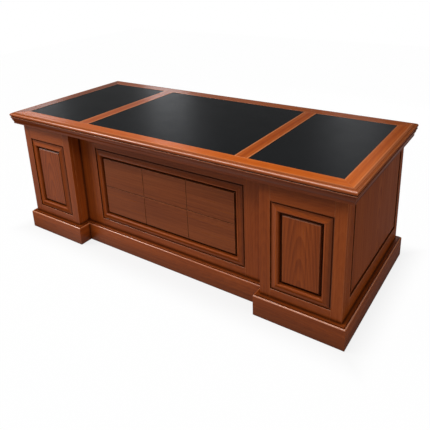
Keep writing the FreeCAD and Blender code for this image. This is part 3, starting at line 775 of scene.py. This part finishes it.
def lacquered(name, tones, glaze_and_shade_tone, rub_and_highlight_tone, ring_width, arches, glare, bands=0.0, veil=0.0, **glaze_and_shade):
    material, tree, shader = new_material(name, Coat_Roughness=0.22, Coat_IOR=1.7)
    grain = attribute(tree, "grain", "Vector")
    board = attribute(tree, "board")
    figure = place_group(tree, wood_figure, Grain=grain, Board=board, Ring_Width=ring_width)
    colour = wood_colour(tree, figure, grain, board, tones, rub_and_highlight_tone, arches, bands)
    # Glaze and painted shade take the colour towards the glaze tone.
    glazed_and_shaded = blend_colours(tree, glaze_and_shade_share(tree, grain, **glaze_and_shade), colour, glaze_and_shade_tone)
    crest = between(tree, attribute(tree, "crest"), 0.3, 0.9)
    rub_and_highlight = place_group(tree, edge_wear_and_highlight, Place=grain, Arris=attribute(tree, "arris"))["Wear and highlight"]
    # Painted highlight: crests are painted halfway to the pale tone, on top of the worn eased edges.
    worn = [calculate(tree, "MULTIPLY", rub_and_highlight, 0.4), calculate(tree, "MULTIPLY", crest, 0.5)]
    rubbed_and_highlit = blend_colours(tree, strongest(tree, worn), glazed_and_shaded, rub_and_highlight_tone)
    burnish, mirror = lacquer_gloss(tree, crest, glare, veil)
    rough = between(tree, figure["Streaks"], 0.25, 0.75, 0.26, 0.36)
    ridges = calculate(tree, "MULTIPLY", figure["Streaks"], 0.3)
    height = calculate(tree, "SUBTRACT", ridges, figure["Pores"])
    feed(
        tree, shader, Base_Color=rubbed_and_highlit, Roughness=rough, Specular_IOR_Level=mirror, Coat_Weight=burnish,
        Normal=bump(tree, height, 0.03 * mm, 0.5),
    )
    return material


print("gloss of a flat:", flat_gloss, "and of a full crest:", flat_gloss + crest_gloss)

# %% [markdown]
# The desk's woods are variations on two: the body's and the border's. Each finish below names only what it
# changes. The crown is darker, painted shade under the nose, and the veneer of the recessed centre is
# darker and softer, painted shade in the recess; the dividers take a darker orange, painted shade for
# how cross grain takes the light. In the nosing the quirk, the level step beside the border, and its
# corners are painted in a light tone: painted light over the shade that falls there. Panels show more of
# the arches than narrow boards do.

# %% Wood finishes of the desk
red_brown = (screen_colour(104, 43, 13), screen_colour(146, 68, 23), screen_colour(168, 84, 34))
# Tones for the crown, darker than the body's: painted shade under the overhanging nose.
shaded_brown = (screen_colour(81, 32, 11), screen_colour(115, 51, 19), screen_colour(135, 63, 27))
# Darker, softer tones for the recessed centre: painted shade in the recess.
recess_shaded_brown = (screen_colour(94, 40, 15), screen_colour(131, 64, 26), screen_colour(152, 80, 38))
orange = (screen_colour(158, 68, 18), screen_colour(184, 90, 28), screen_colour(202, 112, 48))
# A darker orange for the dividers: painted shade for how cross grain takes the light.
cross_grain_shaded_orange = (screen_colour(134, 54, 14), screen_colour(160, 76, 24), screen_colour(180, 96, 42))
# A light tone for the nosing's quirk: painted light over the shade that falls in it.
quirk_painted_light = screen_colour(152, 84, 46)
# The body's level tops get painted shade, and the body is darker towards the floor.
body = {
    "tones": red_brown, "glaze_and_shade_tone": screen_colour(30, 10, 3), "rub_and_highlight_tone": screen_colour(214, 136, 88),
    "ring_width": 0.009, "arches": 0.05, "glare": 0.0015, "shade": 0.35, "darker_to_floor": 0.45,
}
border = {
    "tones": orange, "glaze_and_shade_tone": screen_colour(70, 24, 8), "rub_and_highlight_tone": screen_colour(214, 140, 90),
    "ring_width": 0.012, "arches": 0.05, "glare": 0.002, "veil": 0.01,
}
body_wood = lacquered("Red-brown lacquered wood", **dict(body, corner_darkening=0.8))
# The nosing's level step and corners are painted in the light quirk tone: painted light.
nosing_wood = lacquered("Red-brown nosing wood", **dict(body, glaze_and_shade_tone=quirk_painted_light, shade=0.8, corner_darkening=0.3))
# Mouldings get painted shade at their outer edge, mostly lifted on the lower and left-hand lengths.
moulding_wood = lacquered("Red-brown moulding wood", **dict(body, corner_darkening=0.7, hollow=0.5, lit_side_lift=0.75))
# The crown is painted darker: painted shade.
shaded_crown_wood = lacquered("Crown wood darkened as painted shade", **dict(body, tones=shaded_brown))
panel_wood = lacquered("Red-brown panel veneer", **dict(body, ring_width=0.013, arches=0.16, corner_darkening=0.86))
# The recessed centre is painted darker: painted shade.
shaded_modesty_wood = lacquered("Brown modesty veneer darkened as painted shade", **dict(body, tones=recess_shaded_brown, corner_darkening=0.86))
# Painted shade: the border is darker towards the sitter's side and towards the left end.
border_wood = lacquered("Orange border wood", **dict(border, bands=0.4, sitter_side_shade=0.4, left_end_shade=0.25))
# At the ends the painted shade towards the left end is strongest.
end_wood = lacquered("Orange border wood at the ends", **dict(border, bands=0.9, sitter_side_shade=0.2, left_end_shade=0.72))
# The dividers are painted darker: painted shade.
cross_wood = lacquered("Orange divider wood", **dict(border, tones=cross_grain_shaded_orange, bands=1.0))
woods = (
    body_wood, nosing_wood, moulding_wood, shaded_crown_wood, panel_wood, shaded_modesty_wood, border_wood, end_wood,
    cross_wood,
)
print("wood finishes:", [wood.name for wood in woods])

# %% [markdown]
# ## Leather
# Desk leather is thin dyed hide, skived at its edges and glued into the recess, so it lies flat, sits a
# hair below the border and rounds over at the rim. Its grain is small irregular pebbles parted by fine
# creases, which Voronoi cells give: the distance to a cell's edge is the crease, and the creases are
# painted darker as painted shade. The dye is near black and a little uneven.

# %% Leather finish
dye_tones = [(0.3, screen_colour(21, 22, 24)), (0.7, screen_colour(32, 33, 35))]
crease_shade_tone = screen_colour(18, 19, 20)


def leather(name, pebble=1.6 * mm):
    material, tree, shader = new_material(name, Specular_IOR_Level=0.004)
    place = object_place(tree)
    sway = add_node(tree, "ShaderNodeTexNoise", {"Vector": place, "Scale": 160.0}).outputs["Color"]
    shift = stretch(tree, sway, (pebble, pebble, pebble))
    cells = {"Vector": move(tree, place, shift), "Scale": 1 / pebble}
    crease = add_node(tree, "ShaderNodeTexVoronoi", cells, feature="DISTANCE_TO_EDGE").outputs["Distance"]
    pebbles = between(tree, crease, 0.0, 0.3)
    dye = colour_steps(tree, noise(tree, place, 5.0, 4.0, 0.6), dye_tones)
    # Painted shade: the creases are darker than the dye.
    colour = blend_colours(tree, calculate(tree, "MULTIPLY", pebbles, 0.5), crease_shade_tone, dye)
    rough = between(tree, noise(tree, place, 14.0, 3.0), 0.3, 0.7, 0.34, 0.37)
    feed(tree, shader, Base_Color=colour, Roughness=rough, Normal=bump(tree, pebbles, 0.12 * mm, 0.3))
    return material


black_leather = leather("Black desk leather")
print("finish:", black_leather.name)

# %% [markdown]
# ## Boards, plywood, metal and plastic
# The rest is hidden until a drawer or the door opens: particle board in the core, birch plywood drawers
# whose edges show their plies, zinc-plated slides drawn along their length, aged brass and moulded
# plastic.

# %% Particle board and plywood
chip_tones = [(0.0, screen_colour(110, 78, 50)), (1.0, screen_colour(176, 138, 96))]
birch_tones = [(0.3, screen_colour(214, 178, 128)), (0.7, screen_colour(196, 154, 102))]
cross_ply_tone = screen_colour(150, 104, 62)


def particle_board(name):
    material, tree, shader = new_material(name, Specular_IOR_Level=0.3)
    place = object_place(tree)
    chips = add_node(tree, "ShaderNodeTexVoronoi", {"Vector": place, "Scale": 260.0}).outputs["Color"]
    chip_tone = add_node(tree, "ShaderNodeSeparateColor", {"Color": chips}).outputs[0]
    colour = colour_steps(tree, chip_tone, chip_tones)
    rough = between(tree, chip_tone, 0.0, 1.0, 0.75, 0.9)
    feed(tree, shader, Base_Color=colour, Roughness=rough, Normal=bump(tree, chip_tone, 0.2 * mm, 0.4))
    return material


def plywood(name, ply=1.5 * mm):
    material, tree, shader = new_material(name, Specular_IOR_Level=0.35)
    grain = attribute(tree, "grain", "Vector")
    figure = place_group(tree, wood_figure, Grain=grain, Board=attribute(tree, "board"), Ring_Width=0.02)
    through = axes_of(tree, grain)["Z"]
    layer = calculate(tree, "PINGPONG", calculate(tree, "ADD", through, ply / 2), ply)
    dark_ply = between(tree, layer, 0.4 * ply, 0.6 * ply)
    streaks = figure["Streaks"]
    face = colour_steps(tree, streaks, birch_tones)
    colour = blend_colours(tree, calculate(tree, "MULTIPLY", dark_ply, 0.4), face, cross_ply_tone)
    rough = between(tree, streaks, 0.3, 0.7, 0.5, 0.62)
    feed(tree, shader, Base_Color=colour, Roughness=rough, Normal=bump(tree, streaks, 0.05 * mm, 0.5))
    return material


carcass_board = particle_board("Particle board")
drawer_ply = plywood("Birch plywood")
print("finishes:", carcass_board.name, "and", drawer_ply.name)

# %% [markdown]
# Steel for slides is drawn through rollers, so its fine lines run along the slide, and the zinc on it has
# a faint spangle. Brass tarnishes in patches and darkens in the turnings, for which the glaze group
# serves again. Plastic for glides comes out of a mould with an even, dull texture.

# %% Metal and plastic
line_scale = (2400.0, 12.0, 2400.0)
zinc_tones = [(0.3, screen_colour(150, 152, 154)), (0.7, screen_colour(172, 174, 175))]
bright_brass, tarnished_brass, dark_brass = (
    screen_colour(206, 160, 88), screen_colour(158, 112, 54), screen_colour(74, 48, 24)
)
plastic_tones = (screen_colour(24, 24, 25), screen_colour(36, 36, 37))


def drawn_steel(name):
    material, tree, shader = new_material(name, Metallic=1.0)
    place = object_place(tree)
    lines = noise(tree, stretch(tree, place, line_scale), detail=3.0)
    spangle = noise(tree, place, 60.0, 3.0)
    colour = colour_steps(tree, spangle, zinc_tones)
    rough = between(tree, lines, 0.3, 0.7, 0.28, 0.45)
    feed(tree, shader, Base_Color=colour, Roughness=rough, Normal=bump(tree, lines, 0.02 * mm, 0.4))
    return material


def aged_brass(name):
    material, tree, shader = new_material(name, Metallic=1.0)
    place = object_place(tree)
    glaze = place_group(tree, corner_glaze_and_shade, Place=place, Reach=0.006)["Glaze and shade"]
    tarnish = between(tree, noise(tree, place, 90.0, 4.0), 0.35, 0.75)
    worn = blend_colours(tree, tarnish, bright_brass, tarnished_brass)
    colour = blend_colours(tree, glaze, worn, dark_brass)
    rough = between(tree, tarnish, 0.0, 1.0, 0.22, 0.4)
    pits = noise(tree, place, 600.0)
    feed(tree, shader, Base_Color=colour, Roughness=rough, Normal=bump(tree, pits, 0.02 * mm, 0.3))
    return material


def moulded_plastic(name):
    material, tree, shader = new_material(name, Specular_IOR_Level=0.4)
    place = object_place(tree)
    texture = noise(tree, place, 1800.0)
    colour = blend_colours(tree, noise(tree, place, 40.0), *plastic_tones)
    rough = between(tree, texture, 0.3, 0.7, 0.5, 0.65)
    feed(tree, shader, Base_Color=colour, Roughness=rough, Normal=bump(tree, texture, 0.05 * mm, 0.5))
    return material


zinc_steel = drawn_steel("Zinc-plated steel")
brass = aged_brass("Aged brass")
black_plastic = moulded_plastic("Black moulded plastic")
finishes = {
    "lacquered_wood": body_wood, "border_wood": border_wood, "black_leather": black_leather,
    "carcass_board": carcass_board, "drawer_ply": drawer_ply, "zinc_steel": zinc_steel,
    "brass_fittings": brass, "black_plastic": black_plastic,
}
print("finishes:", sorted(finishes))

# %% [markdown]
# ## Turned pulls
# The pulls are turned brass: a bar that swells in its middle, with a knuckle over each post and a button
# at each end, on posts with a round foot. A lathe spins one outline about an axis, and so does the
# function below. A Screw modifier would spin an outline too, but the bar and its posts lie along
# different axes and are closed at both ends, which a few points say more plainly.

# %% Spin an outline
def half_round(middle, half_length, low, high, steps=10):
    """Outline points of a bead: half an ellipse that rises from the low radius to the high one."""
    points = []
    for step in range(steps + 1):
        angle = math.pi * step / steps
        points.append((middle - half_length * math.cos(angle), low + (high - low) * math.sin(angle)))
    return points


def turned(shape, outline, start, axis, sides=40):
    """Spin (distance, radius) points about the axis and close both ends."""
    across = axis.orthogonal().normalized()
    upright = axis.cross(across)
    turns = [2 * math.pi * side / sides for side in range(sides)]
    spokes = [math.cos(turn) * across + math.sin(turn) * upright for turn in turns]
    rings = []
    for distance, radius in outline:
        rings.append([shape.verts.new(start + distance * axis + radius * spoke) for spoke in spokes])
    for below, above in zip(rings, rings[1:]):
        for side in range(sides):
            after = (side + 1) % sides
            shape.faces.new((below[side], below[after], above[after], above[side]))
    shape.faces.new(list(reversed(rings[0])))
    shape.faces.new(rings[-1])


print("a bead's outline has", len(half_round(0, 1, 0, 1)), "points")

# %% [markdown]
# The outlines are drawn as a turner marks them out: bead by bead along the axis, each a share of the radius
# and of the posts' inset or length. So the same drawing serves every length of pull.

# %% Outlines of a pull and the finished pull
post_inset = 8 * mm
post_share = 0.8
pull_crease = math.radians(40)


def bar_outline(length, radius):
    """A button and a knuckle at each end, and a belly between them."""
    button = half_round(0.22 * post_inset, 0.22 * post_inset, 0.5 * radius, 0.8 * radius)
    end = button + half_round(post_inset, 0.45 * post_inset, 0.55 * radius, radius)
    belly = half_round(length / 2, length / 2 - 1.6 * post_inset, 0.6 * radius, 0.95 * radius, 24)
    return end + belly + [(length - distance, size) for distance, size in reversed(end)]


def post_outline(length, radius):
    """A round foot on the wood, a collar over it and a plain neck."""
    foot = half_round(0.05 * length, 0.05 * length, 1.55 * radius, 1.8 * radius)
    collar = half_round(0.16 * length, 0.06 * length, 0.9 * radius, 1.3 * radius)
    return foot + collar + [(0.3 * length, 0.8 * radius), (length, 0.8 * radius)]


def turned_pull(node, material):
    low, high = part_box(node)
    size = high - low
    along = 2 if size.z > size.x else 0
    axis = Vector((0, 0, 0))
    axis[along] = 1
    radius = min(size) / 2
    start = (low + high) / 2
    start.y = high.y - radius
    start[along] = low[along]
    shape = bmesh.new()
    turned(shape, bar_outline(size[along], radius), start, axis)
    for distance in (post_inset, size[along] - post_inset):
        foot = start + distance * axis
        foot.y = low.y
        turned(shape, post_outline(size.y - radius, post_share * radius), foot, Vector((0, 1, 0)))
    for face in shape.faces:
        face.smooth = True
    mesh = bpy.data.meshes.new("turned_" + node)
    shape.to_mesh(mesh)
    shape.free()
    mesh.set_sharp_from_angle(angle=pull_crease)
    mesh.materials.append(material)
    piece = bpy.data.objects.new("turned_" + node, mesh)
    scene.collection.objects.link(piece)
    dress(node, piece)


pull_nodes = [node for node in frame["nodes"] if node.endswith("_pull")]
for node in pull_nodes:
    turned_pull(node, brass)
print("turned pulls:", len(pull_nodes))

# %% [markdown]
# ## Screws
# Screws hold the slides to the drawers, the pulls to their fronts and the hinge leaves to wood. Each is a
# domed head with a slot, turned to whatever angle the driver left it at. Heads could be copied one by
# one, but a Geometry Nodes tree says it once: a flattened sphere loses its lower half and a slot, and
# stands on every point of a mesh of places, its axis along the stored direction `aim`. Each body gets
# screws of its own, so that they move with it.

# %% Screw tree
head_sizes = ("Head Radius", "Head Height", "Slot Width", "Slot Depth")


def combined(tree, x, y, z):
    return add_node(tree, "ShaderNodeCombineXYZ", {"X": x, "Y": y, "Z": z}).outputs[0]


def screw_head(tree, radius, height, slot_width, slot_depth):
    """A flattened ball that has lost its lower half and a slot to two blocks."""
    ball_sizes = {"Segments": 24, "Rings": 12, "Radius": 1.0}
    ball = add_node(tree, "GeometryNodeMeshUVSphere", ball_sizes).outputs["Mesh"]
    flattened = {"Geometry": ball, "Scale": combined(tree, radius, radius, height)}
    dome = add_node(tree, "GeometryNodeTransform", flattened).outputs[0]
    cut = add_node(tree, "GeometryNodeMeshBoolean", {"Mesh 1": dome}, operation="DIFFERENCE", solver="EXACT")
    width = calculate(tree, "MULTIPLY", radius, 4.0)
    below = calculate(tree, "MULTIPLY", height, -2.0)
    lower_half = combined(tree, width, width, calculate(tree, "MULTIPLY", height, 4.0))
    slot = combined(tree, width, slot_width, calculate(tree, "MULTIPLY", slot_depth, 2.0))
    for size, level in ((lower_half, below), (slot, height)):
        cube = add_node(tree, "GeometryNodeMeshCube", {"Size": size}).outputs["Mesh"]
        placed = {"Geometry": cube, "Translation": combined(tree, 0.0, 0.0, level)}
        block = add_node(tree, "GeometryNodeTransform", placed).outputs[0]
        tree.links.new(block, cut.inputs["Mesh 2"])
    return cut.outputs["Mesh"]


def build_screw_tree():
    group = bpy.data.node_groups.new("Slotted screws", "GeometryNodeTree")
    group.interface.new_socket(name="Places", in_out="INPUT", socket_type="NodeSocketGeometry")
    for label in head_sizes:
        socket = group.interface.new_socket(name=label, in_out="INPUT", socket_type="NodeSocketFloat")
        socket.subtype = "DISTANCE"
    group.interface.new_socket(name="Seed", in_out="INPUT", socket_type="NodeSocketInt")
    group.interface.new_socket(name="Finish", in_out="INPUT", socket_type="NodeSocketMaterial")
    group.interface.new_socket(name="Screws", in_out="OUTPUT", socket_type="NodeSocketGeometry")
    given = group.nodes.new("NodeGroupInput").outputs
    head = screw_head(group, *(given[label] for label in head_sizes))
    aim = add_node(
        group, "GeometryNodeInputNamedAttribute", {"Name": "aim"}, data_type="FLOAT_VECTOR"
    ).outputs[0]
    stand = add_node(group, "FunctionNodeAlignRotationToVector", {"Vector": aim}, axis="Z").outputs[0]
    turn = add_node(
        group, "FunctionNodeRandomValue", {"Max_001": math.pi, "Seed": given["Seed"]}, data_type="FLOAT"
    ).outputs[1]
    about_axis = {"Euler": combined(group, 0.0, 0.0, turn)}
    spin = add_node(group, "FunctionNodeEulerToRotation", about_axis).outputs[0]
    turned_stand = add_node(
        group, "FunctionNodeRotateRotation", {"Rotation": stand, "Rotate By": spin}, rotation_space="LOCAL"
    ).outputs[0]
    copies = {"Points": given["Places"], "Instance": head, "Rotation": turned_stand}
    heads = add_node(group, "GeometryNodeInstanceOnPoints", copies).outputs[0]
    real = add_node(group, "GeometryNodeRealizeInstances", {"Geometry": heads}).outputs[0]
    dressed = {"Geometry": real, "Material": given["Finish"]}
    finish = add_node(group, "GeometryNodeSetMaterial", dressed).outputs[0]
    group.links.new(finish, group.nodes.new("NodeGroupOutput").inputs["Screws"])
    return group


screw_tree = build_screw_tree()
print("tree:", screw_tree.name, "with", len(screw_tree.nodes), "nodes")

# %% [markdown]
# The places come from the pieces that the screws hold. A slide has three along its channel, a pull one
# behind each post, and a hinge leaf three in a zigzag, so that they don't split the wood along its grain.
# Between closed leaves there is only a fifth of a millimetre, so the hinge screws are sunk and all but
# flush.

# %% Places of the screws
slide_sheet = 1.5 * mm
slide_shares = (0.12, 0.5, 0.88)
leaf_width, leaf_height, leaf_play = 20 * mm, 64 * mm, 0.2 * mm
leaf_zigzag = ((0.3, 0.17), (0.7, 0.5), (0.3, 0.83))


def slide_places(drawer):
    low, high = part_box(drawer + "_slide_members")
    box_low, box_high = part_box(drawer + "_box")
    places = []
    for share in slide_shares:
        y = low.y + share * (high.y - low.y)
        for x, side in ((box_low.x - slide_sheet, -1), (box_high.x + slide_sheet, 1)):
            places.append(((x, y, (low.z + high.z) / 2), (side, 0, 0)))
    return places


def pull_places(pull, front):
    low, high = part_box(pull)
    middle = (low + high) / 2
    middle.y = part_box(front)[0].y
    along = 2 if high.z - low.z > high.x - low.x else 0
    places = []
    for end in (low[along] + post_inset, high[along] - post_inset):
        middle[along] = end
        places.append((tuple(middle), (0, -1, 0)))
    return places


def leaf_places(leaves, side):
    low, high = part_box(leaves)
    face_x = (low.x + high.x - side * leaf_play) / 2
    places = []
    for foot in (low.z, high.z - leaf_height):
        for across, up in leaf_zigzag:
            places.append(((face_x, low.y + across * leaf_width, foot + up * leaf_height), (side, 0, 0)))
    return places


print("a slide's first place:", [round(c, 4) for c in slide_places("upper_drawer")[0][0]])

# %% [markdown]
# A mesh of bare points carries the places and the aims, and the tree above turns it into heads. Its
# inputs are set by identifier before the mesh is first worked out. Pan heads stand on the slides and
# inside the fronts; the heads in the hinge leaves are sunk.

# %% Screws for each body
head_crease = math.radians(35)
# Radius, height, slot width and slot depth.
pan_head = (4.0 * mm, 2.2 * mm, 1.0 * mm, 1.1 * mm)
sunk_head = (3.0 * mm, 0.08 * mm, 0.7 * mm, 0.06 * mm)


def screws(name, places, node, material, sizes, seed):
    mesh = bpy.data.meshes.new(name)
    mesh.from_pydata([place for place, _ in places], [], [])
    aims = mesh.attributes.new("aim", "FLOAT_VECTOR", "POINT")
    aims.data.foreach_set("vector", [number for _, aim in places for number in aim])
    piece = bpy.data.objects.new(name, mesh)
    scene.collection.objects.link(piece)
    modifier = piece.modifiers.new("Screws", "NODES")
    modifier.node_group = screw_tree
    values = dict(zip(head_sizes, sizes), Seed=seed, Finish=material)
    for socket in screw_tree.interface.items_tree:
        if socket.name in values:
            modifier[socket.identifier] = values[socket.name]
    plain_mesh(piece)
    piece.data.set_sharp_from_angle(angle=head_crease)
    cad = frame["nodes"][node]
    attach(piece, cad["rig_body"])


for seed, drawer in enumerate(("upper_drawer", "middle_drawer", "file_drawer")):
    places = slide_places(drawer) + pull_places(drawer + "_pull", drawer + "_front")
    screws(drawer + "_screws", places, drawer + "_slide_members", zinc_steel, pan_head, seed)
screws("door_pull_screws", pull_places("door_pull", "door_frame"), "door_pull", brass, pan_head, 3)
screws("wall_leaf_screws", leaf_places("hinge_wall_leaves", 1), "hinge_wall_leaves", brass, sunk_head, 4)
screws("door_leaf_screws", leaf_places("hinge_door_leaves", -1), "hinge_door_leaves", brass, sunk_head, 5)

# %% [markdown]
# ## Dress the nodes
# Boards and leather are replaced by eased copies. Small fittings of metal and plastic already have their
# true shape, so their nodes stay as they are and only get a finish.

# %% Eased pieces and finished nodes
eases = {
    "lacquered_wood": 0.9 * mm, "border_wood": 0.5 * mm, "black_leather": 2.2 * mm,
    "carcass_board": 0.4 * mm, "drawer_ply": 0.8 * mm,
}
board_segments, leather_segments = 2, 3
special_woods = {
    "crown_moulding": shaded_crown_wood, "crown_backing_rail": shaded_crown_wood, "modesty_panel": shaded_modesty_wood,
    "top_nosing": nosing_wood, "top_border_ends": end_wood, "top_dividers": cross_wood,
    "modesty_moulding": moulding_wood, "left_front_moulding": moulding_wood,
    "right_front_moulding": moulding_wood,
}
for node, cad in frame["nodes"].items():
    slot = cad.data.materials[0].name
    if slot in eases:
        material = special_woods.get(node, panel_wood if node.endswith("panel") else finishes[slot])
        segments = leather_segments if slot == "black_leather" else board_segments
        finished(node, material, eases[slot], segments)
    elif node not in pull_nodes:
        cad.data.materials.clear()
        cad.data.materials.append(finishes[slot])
